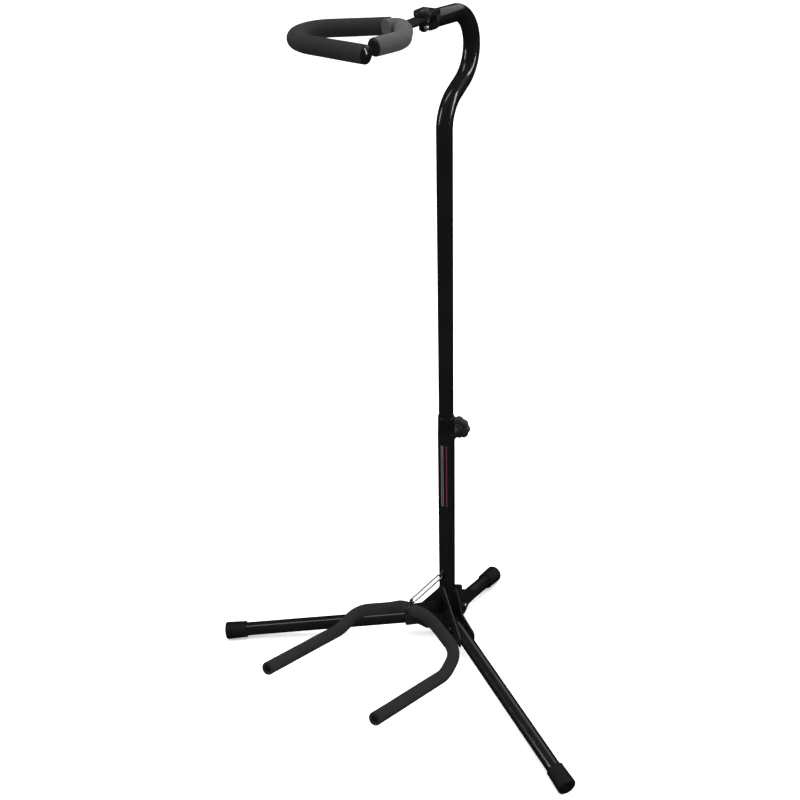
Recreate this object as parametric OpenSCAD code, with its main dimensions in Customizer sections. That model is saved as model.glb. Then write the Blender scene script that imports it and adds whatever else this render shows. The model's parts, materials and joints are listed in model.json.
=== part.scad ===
// Folding tripod stand for a fretted instrument.
// The origin is the point on the floor under the column. +Z is up, the lower yoke points
// along -Y, and the short back leg along +Y.

/* [Column] */
// Outer diameter of the lower tube
column_d = 22.2; // [22:0.1:22.4]
// Bore of the lower tube
column_bore = 20.2; // [20:0.1:20.4]
// Height of the lower tube's top edge
column_top = 348; // [340:1:356]
// Height of the lower tube's bottom edge
column_bottom = 26; // [24:1:30]
// Height of the clamp screw
clamp_z = 337; // [332:1:340]

/* [Mast] */
// Outer diameter of the sliding mast tube
mast_d = 19.05; // [19:0.01:19.1]
// Bore of the mast tube
mast_bore = 16.7; // [16:0.1:17]
// Height of the mast tube's lower end
mast_bottom = 290; // [270:1:300]
// Height where the straight part of the mast ends
mast_straight_top = 746; // [700:1:800]
// Centre-line radius of the backward bend
lean_radius = 42; // [38:1:46]
// Angle of the backward bend
lean_angle = 62; // [55:1:65]
// Straight length between the two bends
lean_run = 18; // [12:1:24]
// Centre-line radius of the crook
crook_radius = 41; // [38:0.5:45]
// Angle of the crook
crook_angle = 148; // [144:1:150]
// Straight length after the crook
crook_run = 50; // [44:1:54]

/* [Legs] */
// Outer diameter of a leg tube
leg_d = 19.05; // [18.8:0.01:19.1]
// Bore of a leg tube
leg_bore = 16.7; // [16:0.1:17]
// Reach of the two front legs from the column axis
front_reach = 319; // [280:1:340]
// Reach of the back leg from the column axis
back_reach = 140; // [130:1:160]
// Angle between the -Y axis and each front leg
front_spread = 58; // [56:1:60]
// Height where the leg axes meet the column axis
leg_root_z = 40; // [38:1:42]
// Height of a front leg's axis at the foot
front_foot_z = 11.6; // [11.4:0.1:11.8]
// Height of the back leg's axis at the foot
back_foot_z = 11.2; // [11:0.1:11.4]
// Distance of a leg's rivet from the column axis
pivot_t = 32; // [31:1:33]

/* [Hub] */
// Thickness of the folded hub plates
plate_t = 2; // [1.6:0.1:2.2]
// Reach of the hub plates from the column axis
plate_reach = 60; // [58:1:64]
// Height of the front hub plate at the column
plate_top = 98; // [92:1:104]
// Height of the two rear hub plates at the column
rear_top = 82; // [78:1:86]

/* [Yoke] */
// Diameter of the yoke rod
yoke_rod_d = 9.5; // [9.4:0.1:9.6]
// Outer diameter of the foam on the yoke
yoke_foam_d = 16.8; // [16:0.1:17.6]
// Distance of the yoke's middle from the column axis
yoke_y = 88; // [86:1:90]
// Height of the yoke's middle
yoke_z = 112; // [111:1:113]

/* [Neck holder] */
// Diameter of the rods of the holder and its gate
holder_rod_d = 8; // [7.8:0.1:8.2]
// Outer diameter of the foam on the holder
holder_foam_d = 18.4; // [17:0.1:20]
// Outer diameter of the foam on the gate
gate_foam_d = 18.4; // [17:0.1:20]
// Distance of the pivot bolt in front of the column axis
bolt_y = 40; // [39:1:41]

/* [Hidden] */

$fn = 64;
run_gap = 0.07;         // radial clearance of a running fit
big = 400;
bend_step = 11;         // largest turn between two rings of a bent rod, in degrees
rod_sides = 16;
sleeve_slack = 0.03;    // room between a rod's corners and its foam
foam_sides = 20;
crook_sides = 32;

black_paint = [0.05, 0.05, 0.055];
black_plastic = [0.10, 0.10, 0.10];
foam_dark = [0.17, 0.17, 0.17];
foam_light = [0.30, 0.30, 0.30];
rubber_black = [0.08, 0.08, 0.08];
bright_steel = [0.80, 0.80, 0.82];

column_r = column_d / 2;
mast_r = mast_d / 2;
leg_r = leg_d / 2;

left_az = 270 - front_spread;
right_az = 270 + front_spread;
back_az = 90;

// Hub plates: each one flanks two neighbouring legs.
plate_in = leg_r + 0.225;
plate_out = plate_in + plate_t;
plate_bottom = 22;
web_reach = 10;         // the plate is solid between the legs up to this distance
front_knee = [40, 65];  // knee of the front plate's slopes
side_knee = [24, 53];   // knee of a rear plate's slope along a front leg
back_knee = [34, 63];   // knee of a rear plate's slope along the back leg
rivet_r = 3;
stop_t = 19;
stop_r = 2.5;

// ---------------------------------------------------------------- bent rods

function unit(v) = v / norm(v);

// Turns +Z onto the direction d and moves the origin to p.
module aim(p, d) {
    u = unit(d);
    tilt = acos(u[2]);
    turn = atan2(u[1], u[0]);
    translate(p) rotate([0, tilt, turn]) children();
}

// A bent rod follows a list of corners, each rounded to its own bend radius.
function heading(points, i) = unit(points[i + 1] - points[i]);

// Stations of the arc at corner i: pairs of a point and the direction there.
function corner_stations(points, radii, i) =
    let (a = heading(points, i - 1), b = heading(points, i), turn = acos(a * b),
        across = cross(a, b), inward = cross(unit(across), a),
        start = points[i] - a * radii[i] * tan(turn / 2), steps = ceil(turn / bend_step))
    [for (k = [0 : steps]) let (t = turn * k / steps)
        [start + radii[i] * (inward * (1 - cos(t)) + a * sin(t)), a * cos(t) + inward * sin(t)]];

// Stations of the whole rod, carried on past both of its ends by extra.
function rod_stations(points, radii, extra = 0) =
    let (last = len(points) - 1, first_d = heading(points, 0), last_d = heading(points, last - 1))
    concat([[points[0] - first_d * extra, first_d]],
        [for (i = [1 : last - 1]) each corner_stations(points, radii, i)],
        [[points[last] + last_d * extra, last_d]]);

function square_to(v, d) = unit(v - (v * d) * d);

// Sideways vectors that follow the rod without twisting about it.
function side_vectors(stations) =
    let (d0 = stations[0][1], count = len(stations))
    [for (i = 0, u = square_to(abs(d0[2]) < 0.7 ? [0, 0, 1] : [1, 0, 0], d0); i < count;
            i = i + 1, u = i < count ? square_to(u, stations[i][1]) : u) u];

// Closed round tube of radius r through the stations.
module sweep(stations, r, sides) {
    sideways = side_vectors(stations);
    last = len(stations) - 1;
    points = [for (i = [0 : last]) let (d = stations[i][1], u = sideways[i], v = cross(d, u))
        each [for (k = [0 : sides - 1]) let (t = 360 * k / sides)
            stations[i][0] + r * (u * cos(t) + v * sin(t))]];
    walls = [for (i = [0 : last - 1]) each [for (k = [0 : sides - 1])
        let (m = (k + 1) % sides, low = i * sides, high = low + sides)
            each [[low + k, high + k, high + m], [low + k, high + m, low + m]]]];
    start_cap = [for (k = [0 : sides - 1]) k];
    end_cap = [for (k = [sides - 1 : -1 : 0]) last * sides + k];
    polyhedron(points = points, faces = concat([start_cap, end_cap], walls), convexity = 6);
}

module bent_rod(points, radii, r) {
    sweep(rod_stations(points, radii), r, rod_sides);
}

// Foam tube on a bent rod of radius rod_r, open at both ends.
module foam_tube(points, radii, outer_r, rod_r) {
    inner_r = rod_r / cos(180 / rod_sides) + sleeve_slack;
    difference() {
        sweep(rod_stations(points, radii), outer_r, foam_sides);
        sweep(rod_stations(points, radii, 1), inner_r, rod_sides);
    }
}

function mirror_x(points) = [for (p = points) [-p[0], p[1], p[2]]];

// ---------------------------------------------------------------- column

module column_tube() {
    color(black_paint) difference() {
        translate([0, 0, column_bottom]) cylinder(h = column_top - column_bottom, r = column_r);
        translate([0, 0, column_bottom - 1]) cylinder(h = big, d = column_bore);
        translate([0, 0, clamp_z]) rotate([-90, 0, 0]) cylinder(h = 20, r = boss_spigot_r);
    }
}

// Plug pressed into the bottom of the column, with a rim below the tube.
plug_depth = 16;
plug_rim = 4;

module column_plug() {
    color(black_plastic) {
        translate([0, 0, column_bottom]) cylinder(h = plug_depth, d = column_bore);
        translate([0, 0, column_bottom - plug_rim]) cylinder(h = plug_rim, r = column_r - 0.3);
    }
}

// Tapered plastic collar on top of the column; its lip guides the mast.
collar_h = 25;
collar_skirt = 6;
collar_top_d = 21.2;

module height_collar() {
    color(black_plastic) difference() {
        union() {
            translate([0, 0, column_top]) cylinder(h = collar_h, d1 = column_d, d2 = collar_top_d);
            translate([0, 0, column_top - collar_skirt]) cylinder(h = collar_skirt + 1, d = column_bore);
        }
        translate([0, 0, column_top - collar_skirt - 1]) cylinder(h = big, r = mast_r + run_gap);
    }
}

// ---------------------------------------------------------------- clamp on the column's back

boss_r = 8;
boss_spigot_r = 4.6;
boss_end_y = 23;
screw_r = 3;
screw_run_gap = 0.08;
pad_face_y = mast_r + 0.3;
pad_r = 2.9;
pad_h = 4.4;
tip_r = 1.5;            // thin tip of the screw, turning in the pad
tip_depth = 2.2;
screw_tip_y = pad_face_y + pad_h + 0.1;
screw_end_y = 35;
knob_back_y = 26;
knob_front_y = 41;
knob_r = 16;
knob_flutes = 8;
flute_r = 6;
flute_depth = 1.4;

module along_clamp(y) {
    translate([0, y, clamp_z]) rotate([-90, 0, 0]) children();
}

// Steel boss welded through the column's wall, with the screw's thread in it.
module clamp_boss() {
    color(black_paint) difference() {
        union() {
            difference() {
                along_clamp(0) cylinder(h = boss_end_y, r = boss_r);
                translate([0, 0, clamp_z - 20]) cylinder(h = 40, r = column_r);
            }
            difference() {
                along_clamp(0) cylinder(h = boss_end_y - 1, r = boss_spigot_r);
                translate([0, 0, clamp_z - 20]) cylinder(h = 40, r = column_bore / 2);
            }
        }
        along_clamp(0) cylinder(h = 40, r = screw_r + screw_run_gap);
    }
}

// Nylon pad on the screw's tip: it presses on the mast and does not turn.
module clamp_pad() {
    color("ivory") along_clamp(pad_face_y) difference() {
        cylinder(h = pad_h, r = pad_r);
        translate([0, 0, pad_h - tip_depth]) cylinder(h = 3, r = tip_r + run_gap);
    }
}

module clamp_screw() {
    color(bright_steel) {
        along_clamp(screw_tip_y - 2) cylinder(h = 3, r = tip_r);
        along_clamp(screw_tip_y) cylinder(h = screw_end_y - screw_tip_y, r = screw_r);
    }
}

module knob_profile() {
    difference() {
        circle(r = knob_r);
        for (i = [0 : knob_flutes - 1])
            rotate(360 / knob_flutes * (i + 0.5))
                translate([knob_r + flute_r - flute_depth, 0]) circle(r = flute_r);
    }
}

// Domed outline of the knob, turned about the screw.
module knob_dome() {
    rotate_extrude() polygon([[0, 0], [7.5, 0], [7.5, 2], [13, 2], [knob_r, 5], [knob_r, 8.5],
            [14, 12], [9, 14.2], [0, 15]]);
}

module knob() {
    color(black_plastic) difference() {
        along_clamp(knob_back_y) intersection() {
            linear_extrude(height = knob_front_y - knob_back_y) knob_profile();
            knob_dome();
        }
        along_clamp(knob_back_y - 1) cylinder(h = screw_end_y - knob_back_y + 1, r = screw_r);
    }
}

// ---------------------------------------------------------------- legs

function is_back(az) = az % 360 == back_az;
function leg_reach(az) = is_back(az) ? back_reach : front_reach;
function foot_z(az) = is_back(az) ? back_foot_z : front_foot_z;
function leg_slope(az) = atan((leg_root_z - foot_z(az)) / leg_reach(az));
function leg_z(az, t) = leg_root_z - t * tan(leg_slope(az));

// Frame of a leg: +X runs outward along the leg's own axis, from the column axis.
module leg_frame(az) {
    rotate([0, 0, az]) translate([0, 0, leg_root_z]) rotate([0, leg_slope(az), 0]) children();
}

module along_x(x) {
    translate([x, 0, 0]) rotate([0, 90, 0]) children();
}

leg_inner_t = 15;
cap_len = 30;
cap_end_wall = 3.2;
cap_mouth_r = 11.4;
cap_flare_r = 12.4;
cap_chamfer = 2;

module leg_tube(az) {
    length = leg_reach(az) / cos(leg_slope(az));
    inner = leg_inner_t / cos(leg_slope(az));
    color(black_paint) leg_frame(az) difference() {
        along_x(inner) cylinder(h = length - cap_end_wall - inner, r = leg_r);
        along_x(inner - 1) cylinder(h = length, d = leg_bore);
        translate([pivot_t / cos(leg_slope(az)), 0, 0]) rotate([90, 0, 0])
            cylinder(h = 40, r = rivet_r + run_gap, center = true);
    }
}

// Rubber cap, flared to its outer end and worn flat where it meets the floor.
module foot_cap(az) {
    length = leg_reach(az) / cos(leg_slope(az));
    color(rubber_black) difference() {
        leg_frame(az) difference() {
            union() {
                along_x(length - cap_len)
                    cylinder(h = cap_len - cap_chamfer, r1 = cap_mouth_r, r2 = cap_flare_r);
                along_x(length - cap_chamfer)
                    cylinder(h = cap_chamfer, r1 = cap_flare_r, r2 = cap_flare_r - cap_chamfer / 2);
            }
            along_x(length - cap_len - 1) cylinder(h = cap_len + 1 - cap_end_wall, r = leg_r);
        }
        translate([-big, -big, -20]) cube([2 * big, 2 * big, 20]);
    }
}

module leg_left() { leg_tube(left_az); }
module leg_right() { leg_tube(right_az); }
module leg_back() { leg_tube(back_az); }
module foot_left() { foot_cap(left_az); }
module foot_right() { foot_cap(right_az); }
module foot_back() { foot_cap(back_az); }

// ---------------------------------------------------------------- hub

function stop_z(az) = leg_z(az, stop_t) - leg_r / cos(leg_slope(az)) - stop_r - 0.25;

// Point on the floor plan at distance t along a leg and side to the left of its axis.
function leg_point(az, t, side) = [t * cos(az) - side * sin(az), t * sin(az) + side * cos(az)];

// Prism over one flank of a leg's channel, from a side view given as distance and height.
module flank_prism(az, side, outline) {
    rotate([0, 0, az]) translate([0, side > 0 ? plate_out + 0.5 : -plate_in + 0.5, 0]) rotate([90, 0, 0])
        linear_extrude(height = plate_t + 1) polygon(outline);
}

// Takes the slope, the toe and the holes out of one flank of a leg's channel. The slope falls
// from the plate's top at the web, over the knee, to the channel's end.
module flank_cuts(az, side, top, knee) {
    flank_prism(az, side, [[web_reach, top + 5], [web_reach, top], knee, [plate_reach - 3, 46],
        [plate_reach, 43], [plate_reach + 5, 43], [plate_reach + 5, top + 5]]);
    flank_prism(az, side, [[plate_reach + 5, 29], [plate_reach, 29], [plate_reach - 2, 28],
        [plate_reach - 18, 30], [30, plate_bottom], [30, plate_bottom - 5],
        [plate_reach + 5, plate_bottom - 5]]);
    rotate([0, 0, az]) {
        translate([pivot_t, 0, leg_z(az, pivot_t)]) rotate([side > 0 ? -90 : 90, 0, 0])
            cylinder(h = 40, r = rivet_r);
        translate([stop_t, 0, stop_z(az)]) rotate([side > 0 ? -90 : 90, 0, 0])
            cylinder(h = 40, r = stop_r);
    }
}

// Distance along a leg where the outer faces of a folded plate meet.
function apex_t(a, b) = plate_out / tan((b - a) / 2);

// Folded plate between the leg at azimuth a and the next leg at azimuth b.
module hub_plate(a, b, top, knee_a, knee_b) {
    difference() {
        translate([0, 0, plate_bottom]) linear_extrude(height = top - plate_bottom)
            polygon([[0, 0], leg_point(a, web_reach, plate_in), leg_point(a, plate_reach, plate_in),
                leg_point(a, plate_reach, plate_out), leg_point(a, apex_t(a, b), plate_out),
                leg_point(b, plate_reach, -plate_out), leg_point(b, plate_reach, -plate_in),
                leg_point(b, web_reach, -plate_in)]);
        cylinder(h = big, r = column_r);
        flank_cuts(a, 1, top, knee_a);
        flank_cuts(b, -1, top, knee_b);
    }
}

module hub_plate_front() {
    color(black_paint) hub_plate(left_az, right_az, plate_top, front_knee, front_knee);
}

module hub_plate_right() {
    color(black_paint) hub_plate(right_az, back_az + 360, rear_top, side_knee, back_knee);
}

module hub_plate_left() {
    color(black_paint) hub_plate(back_az, left_az, rear_top, back_knee, side_knee);
}

rivet_head_r = 5;
rivet_head_h = 2;

// Domed head of base radius r and height h, standing on the XY plane.
module dome(r, h) {
    sphere_r = (r * r + h * h) / (2 * h);
    intersection() {
        translate([0, 0, h - sphere_r]) sphere(r = sphere_r);
        cylinder(h = h, r = r);
    }
}

module leg_rivets() {
    color(bright_steel) for (az = [left_az, right_az, back_az])
        rotate([0, 0, az]) translate([pivot_t, 0, leg_z(az, pivot_t)]) rotate([90, 0, 0]) {
            cylinder(h = 2 * plate_out, r = rivet_r, center = true);
            translate([0, 0, plate_out]) dome(rivet_head_r, rivet_head_h);
            mirror([0, 0, 1]) translate([0, 0, plate_out]) dome(rivet_head_r, rivet_head_h);
        }
}

module stop_pins() {
    color(black_paint) for (az = [left_az, right_az, back_az])
        rotate([0, 0, az]) translate([stop_t, 0, stop_z(az)]) rotate([90, 0, 0])
            cylinder(h = 2 * plate_out, r = stop_r, center = true);
}

// ---------------------------------------------------------------- yoke strut and tie

eye_x = -6;             // the strut holds the rod a little left of its middle
eye_w = 5;
eye_r = 7.2;
strut_root_y = 13;
strut_t = 3.6;
lug_t = 2.4;
hole_z = 121;
column_lug_y = 17;
strut_lug_y = 84;
link_wire_r = 1.25;
link_half_w = 3.4;
lug_hole_r = 2.2;

// Flat bar from the front of the hub to the eye that the yoke rod turns in.
module strut_bar() {
    run = [eye_x, strut_root_y - yoke_y];
    reach = norm(run);
    translate([0, -strut_root_y, 0]) rotate([0, 0, atan2(run[1], run[0])]) rotate([90, 0, 0])
        linear_extrude(height = strut_t, center = true)
            polygon([[0, 50], [0, 76], [reach - 4, yoke_z + 2], [reach, yoke_z], [reach - 2, yoke_z - 6]]);
}

// Everything behind the outer face of the front hub plate.
module behind_front_plate() {
    linear_extrude(height = big) polygon([leg_point(left_az, web_reach * 3, plate_out),
        leg_point(left_az, apex_t(left_az, right_az), plate_out),
        leg_point(right_az, web_reach * 3, -plate_out), [0, column_r]]);
}

// Ear on top of the eye that the tie link hooks through.
module strut_ear() {
    translate([eye_x - lug_t / 2, 0, 0]) rotate([90, 0, 90]) linear_extrude(height = lug_t)
        polygon([[-yoke_y - 3, yoke_z + 6], [-strut_lug_y - 3, hole_z + 3.5],
                [-strut_lug_y + 3, hole_z + 3.5], [-strut_lug_y + 4, yoke_z + 2]]);
}

module yoke_strut() {
    color(black_paint) difference() {
        union() {
            strut_bar();
            strut_ear();
            translate([eye_x, -yoke_y, yoke_z]) rotate([0, 90, 0])
                cylinder(h = eye_w, r = eye_r, center = true);
        }
        translate([eye_x, -yoke_y, yoke_z]) rotate([0, 90, 0])
            cylinder(h = 40, r = yoke_rod_d / 2 + run_gap, center = true);
        translate([eye_x, -strut_lug_y, hole_z]) rotate([0, 90, 0])
            cylinder(h = 20, r = lug_hole_r, center = true);
        behind_front_plate();
    }
}

// Small plate on the front of the column that the tie link hooks through.
module column_lug() {
    color(black_paint) difference() {
        translate([-lug_t / 2, 0, 0]) rotate([90, 0, 90]) linear_extrude(height = lug_t)
            polygon([[-9, hole_z - 8], [-9, hole_z + 8], [-column_lug_y, hole_z + 4],
                    [-column_lug_y - 3, hole_z + 2], [-column_lug_y - 3, hole_z - 2],
                    [-column_lug_y, hole_z - 4]]);
        cylinder(h = big, r = column_r);
        translate([0, -column_lug_y, hole_z]) rotate([0, 90, 0])
            cylinder(h = 20, r = lug_hole_r, center = true);
    }
}

// Closed wire link that ties the strut's eye back to the column.
module tie_link() {
    a = [0, -column_lug_y, hole_z];
    b = [eye_x, -strut_lug_y, hole_z];
    span = norm(b - a) - 2 * link_half_w;
    color(bright_steel) translate(a) rotate([0, 0, atan2(b[1] - a[1], b[0] - a[0])])
        translate([link_half_w, 0, 0]) {
            for (side = [-1, 1])
                translate([0, side * link_half_w, 0]) rotate([0, 90, 0])
                    cylinder(h = span, r = link_wire_r);
            rotate([0, 0, 90]) rotate_extrude(angle = 180)
                translate([link_half_w, 0]) circle(r = link_wire_r);
            translate([span, 0, 0]) rotate([0, 0, -90]) rotate_extrude(angle = 180)
                translate([link_half_w, 0]) circle(r = link_wire_r);
        }
}

// ---------------------------------------------------------------- lower yoke

yoke_foam_gap = 0.35;
yoke_tip = [79, -300, 144];
tip_inset = 4.3;        // the rod ends this far inside its foam
end_dome_h = 3;

// Corners of the yoke's right arm, from the middle outward.
yoke_corners = [[18, -yoke_y, yoke_z], [36, -yoke_y, 100], [78, -109, 92], [82, -144, 84]];
yoke_radii = [30, 30, 30, 40];
yoke_tip_dir = unit(yoke_tip - yoke_corners[3]);
yoke_rod_end = yoke_tip - tip_inset * yoke_tip_dir;

yoke_path = concat([yoke_rod_end + [-2 * yoke_rod_end[0], 0, 0]], mirror_x(reverse(yoke_corners)),
    yoke_corners, [yoke_rod_end]);
yoke_path_radii = concat([0], reverse(yoke_radii), yoke_radii, [0]);

function reverse(v) = [for (i = [len(v) - 1 : -1 : 0]) v[i]];

module yoke_rod() {
    color(black_paint) bent_rod(yoke_path, yoke_path_radii, yoke_rod_d / 2);
}

module yoke_foam(start, mirrored) {
    arm = mirrored ? mirror_x(yoke_corners) : yoke_corners;
    tip = mirrored ? mirror_x([yoke_tip])[0] : yoke_tip;
    color(foam_dark) foam_tube(concat([start], arm, [tip]), concat([0], yoke_radii, [0]),
        yoke_foam_d / 2, yoke_rod_d / 2);
}

module yoke_foam_left() {
    yoke_foam([eye_x - eye_w / 2 - yoke_foam_gap, -yoke_y, yoke_z], true);
}

module yoke_foam_right() {
    yoke_foam([eye_x + eye_w / 2 + yoke_foam_gap, -yoke_y, yoke_z], false);
}

// Domed cap in the open end of each foam sleeve, on the rod's end.
module yoke_end_caps() {
    color(black_plastic) for (side = [0, 1]) mirror([side, 0, 0])
        aim(yoke_rod_end, yoke_tip_dir) dome(yoke_rod_d / 2, end_dome_h);
}

// ---------------------------------------------------------------- mast

crook_start_y = lean_radius * (1 - cos(lean_angle)) + lean_run * sin(lean_angle);
crook_start_z = mast_straight_top + lean_radius * sin(lean_angle) + lean_run * cos(lean_angle);
crook_centre = [0, crook_start_y - crook_radius * cos(lean_angle),
    crook_start_z + crook_radius * sin(lean_angle)];
crook_end_az = crook_angle - lean_angle;
crook_rise = 90 - crook_end_az;
crook_end = crook_centre + crook_radius * [0, cos(crook_end_az), sin(crook_end_az)];
crook_dir = [0, -cos(crook_rise), sin(crook_rise)];
mast_tip = crook_end + crook_run * crook_dir;

crook_step = 8;

// Straight part of the mast.
module mast_tube() {
    color(black_paint) translate([0, 0, mast_bottom]) difference() {
        cylinder(h = mast_straight_top - mast_bottom, r = mast_r);
        translate([0, 0, -1]) cylinder(h = big + 100, d = mast_bore);
    }
}

// Stations of a flat arc in the YZ plane about a centre, between two angles from +Y.
function arc_stations(centre, radius, from, to, sense) =
    let (steps = ceil(abs(to - from) / crook_step))
    [for (k = [0 : steps]) let (t = from + (to - from) * k / steps)
        [centre + radius * [0, cos(t), sin(t)], sense * [0, -sin(t), cos(t)]]];

// Centre line of the bent end, from the top of the straight part.
function crook_stations() = concat(
    arc_stations([0, lean_radius, mast_straight_top], lean_radius, 180, 180 - lean_angle, -1),
    arc_stations(crook_centre, crook_radius, -lean_angle, crook_angle - lean_angle, 1),
    [[mast_tip, crook_dir]]);

// Bent end of the mast: it leans back, then crooks forward over the stand's front.
module mast_crook() {
    color(black_paint) difference() {
        sweep(crook_stations(), mast_r, crook_sides);
        sweep(concat([[[0, 0, mast_straight_top - 1], [0, 0, 1]]], crook_stations(),
            [[mast_tip + crook_dir, crook_dir]]), mast_bore / 2, rod_sides);
    }
}

// Plastic plug that guides the mast's foot in the column; the mast turns on its stem.
module slide_plug() {
    color(black_plastic) {
        translate([0, 0, mast_bottom - 14.3]) cylinder(h = 14, r = column_bore / 2 - run_gap);
        translate([0, 0, mast_bottom - 1]) cylinder(h = 19, r = mast_bore / 2 - run_gap);
    }
}

// ---------------------------------------------------------------- neck holder

housing_len = 7;
housing_r = 10.9;
ear_bottom = 878.4;
ear_top = 883.4;
ear_r = 10.5;
bracket_t = 3;
bracket_z = ear_bottom - bracket_t;
bolt_r = 3;
bolt_head_r = 6.2;
bolt_head_h = 3.2;
gate_eye_h = 5.6;
gate_eye_bottom = bracket_z - 0.3 - gate_eye_h;
bolt_bottom = gate_eye_bottom - 7;

// Cast end of the crook: a socket over the tube and an ear that holds the pivot bolt.
module crook_housing() {
    color(black_plastic) difference() {
        union() {
            aim(mast_tip - crook_dir * (housing_len - 2), crook_dir)
                cylinder(h = housing_len, r = housing_r);
            translate([0, -bolt_y, ear_bottom]) cylinder(h = ear_top - ear_bottom, r = ear_r);
            translate([-ear_r, -bolt_y, ear_bottom])
                cube([2 * ear_r, bolt_y + mast_tip[1] + 4, ear_top - ear_bottom]);
        }
        aim(mast_tip - crook_dir * 30, crook_dir) cylinder(h = 30, r = mast_r);
        translate([0, -bolt_y, ear_bottom - 20]) cylinder(h = 60, r = bolt_r);
    }
}

// Bolt with a domed head on the ear; the gate turns on its shank.
module pivot_bolt() {
    color(black_paint) translate([0, -bolt_y, 0]) {
        translate([0, 0, bolt_bottom]) cylinder(h = ear_top - bolt_bottom, r = bolt_r);
        translate([0, 0, ear_top]) dome(bolt_head_r, bolt_head_h);
    }
}

module pivot_nut() {
    color(bright_steel) translate([0, -bolt_y, gate_eye_bottom - 5.3]) difference() {
        cylinder(h = 5, r = 5.8, $fn = 6);
        translate([0, 0, -1]) cylinder(h = 7, r = bolt_r);
    }
}

// Corners of the holder's hook, from its open right end round to its left end.
holder_z = bracket_z + bracket_t / 2;
holder_path = [[20.4, -158.8, holder_z], [29.5, -127.5, holder_z], [12.2, -96.8, holder_z],
    [-3.4, -80.4, holder_z], [-9.4, -93.2, holder_z]];
holder_radii = [0, 26, 26, 9.6, 0];
holder_foam_over = 2.5;   // the foam runs on past the rod's ends
end_slack = 0.1;
cap_flange_r = 8.8;
cap_flange_h = 1.6;

// Forked plate that carries the hook; its two prongs are welded to the hook's rod.
module bracket_plate() {
    translate([0, 0, bracket_z]) linear_extrude(height = bracket_t) difference() {
        union() {
            translate([0, -bolt_y]) circle(r = 8);
            polygon([[-6, -bolt_y - 4], [-7, -85.5], [-2.5, -88], [1, -bolt_y - 7]]);
            polygon([[-3, -bolt_y - 6], [7.5, -90], [12.5, -93.5], [6.5, -bolt_y - 2]]);
        }
        translate([0, -bolt_y]) circle(r = bolt_r);
    }
}

module holder_bracket() {
    color(black_paint) difference() {
        bracket_plate();
        bent_rod(holder_path, holder_radii, holder_rod_d / 2);
    }
}

module holder_rod() {
    color(black_paint) bent_rod(holder_path, holder_radii, holder_rod_d / 2);
}

// The foam is cut open at the hook's right end and closed over the rod at its left end.
module holder_foam() {
    last_i = len(holder_path) - 1;
    first_way = -heading(holder_path, 0);
    last_way = heading(holder_path, last_i - 1);
    skin = concat([holder_path[0] + holder_foam_over * first_way],
        [for (i = [1 : last_i - 1]) holder_path[i]],
        [holder_path[last_i] + holder_foam_over * last_way]);
    bore = concat([holder_path[0] + (holder_foam_over + 1) * first_way],
        [for (i = [1 : last_i - 1]) holder_path[i]], [holder_path[last_i] + end_slack * last_way]);
    bore_r = holder_rod_d / 2 / cos(180 / rod_sides) + sleeve_slack;
    color(foam_light) difference() {
        sweep(rod_stations(skin, holder_radii), holder_foam_d / 2, foam_sides);
        sweep(rod_stations(bore, holder_radii), bore_r, rod_sides);
        bracket_plate();
    }
}

// Black plug with a flat flange that closes the foam's open end.
module holder_end_cap() {
    way = -heading(holder_path, 0);
    color(black_plastic) aim(holder_path[0], way) {
        cylinder(h = holder_foam_over + cap_flange_h, r = holder_rod_d / 2);
        translate([0, 0, holder_foam_over]) cylinder(h = cap_flange_h, r1 = cap_flange_r,
            r2 = cap_flange_r - cap_flange_h / 2);
    }
}

// ---------------------------------------------------------------- gate

gate_rise = 2.2;        // the gate climbs a little towards its free end
gate_drop = 1.2;        // the rod lies this much below the middle of its eye
gate_z = gate_eye_bottom + gate_eye_h / 2 - gate_drop;

// Corners of the gate seen from above, from the pivot round to the free end.
gate_path = [[0, 0, 0], [-20, -27.5, 0], [-80, -80, 0], [-77, -138.5, 0], [27.5, -146.5, 0]];
gate_radii = [0, 14, 34, 43, 0];
gate_bare = 1.5;        // bare rod between the first bend's corner and the foam
gate_cap_r = 9.1;
gate_cap_h = 3.5;

module gate_frame() {
    translate([0, -bolt_y, gate_z]) rotate([-gate_rise, 0, 0]) children();
}

module gate_rod() {
    color(black_paint) difference() {
        union() {
            gate_frame() bent_rod(gate_path, gate_radii, holder_rod_d / 2);
            translate([0, -bolt_y, gate_eye_bottom]) cylinder(h = gate_eye_h, r = 7.5);
        }
        translate([0, -bolt_y, gate_eye_bottom - 20]) cylinder(h = 40, r = bolt_r + run_gap);
        translate([-20, -bolt_y - 20, gate_eye_bottom + gate_eye_h]) cube([40, 40, 20]);
        translate([-10, -bolt_y - 10, gate_eye_bottom - 20]) cube([20, 20, 20]);
    }
}

module gate_foam() {
    last_i = len(gate_path) - 1;
    foam_start = gate_path[1] + gate_bare * heading(gate_path, 1);
    path = [for (i = [1 : last_i]) i == 1 ? foam_start : gate_path[i]];
    radii = [0, gate_radii[2], gate_radii[3], 0];
    color(foam_dark) gate_frame() foam_tube(path, radii, gate_foam_d / 2, holder_rod_d / 2);
}

// Glossy domed cap on the gate's free end.
module gate_cap() {
    last_i = len(gate_path) - 1;
    d = heading(gate_path, last_i - 1);
    color(black_paint) gate_frame() aim(gate_path[last_i], d) dome(gate_cap_r, gate_cap_h);
}

column_tube();
column_plug();
hub_plate_front();
hub_plate_left();
hub_plate_right();
leg_rivets();
stop_pins();
yoke_strut();
column_lug();
tie_link();
height_collar();
clamp_boss();
leg_left();
foot_left();
leg_right();
foot_right();
leg_back();
foot_back();
yoke_rod();
yoke_foam_left();
yoke_foam_right();
yoke_end_caps();
slide_plug();
mast_tube();
mast_crook();
crook_housing();
pivot_bolt();
pivot_nut();
holder_bracket();
holder_rod();
holder_foam();
holder_end_cap();
gate_rod();
gate_foam();
gate_cap();
clamp_pad();
clamp_screw();
knob();
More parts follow.
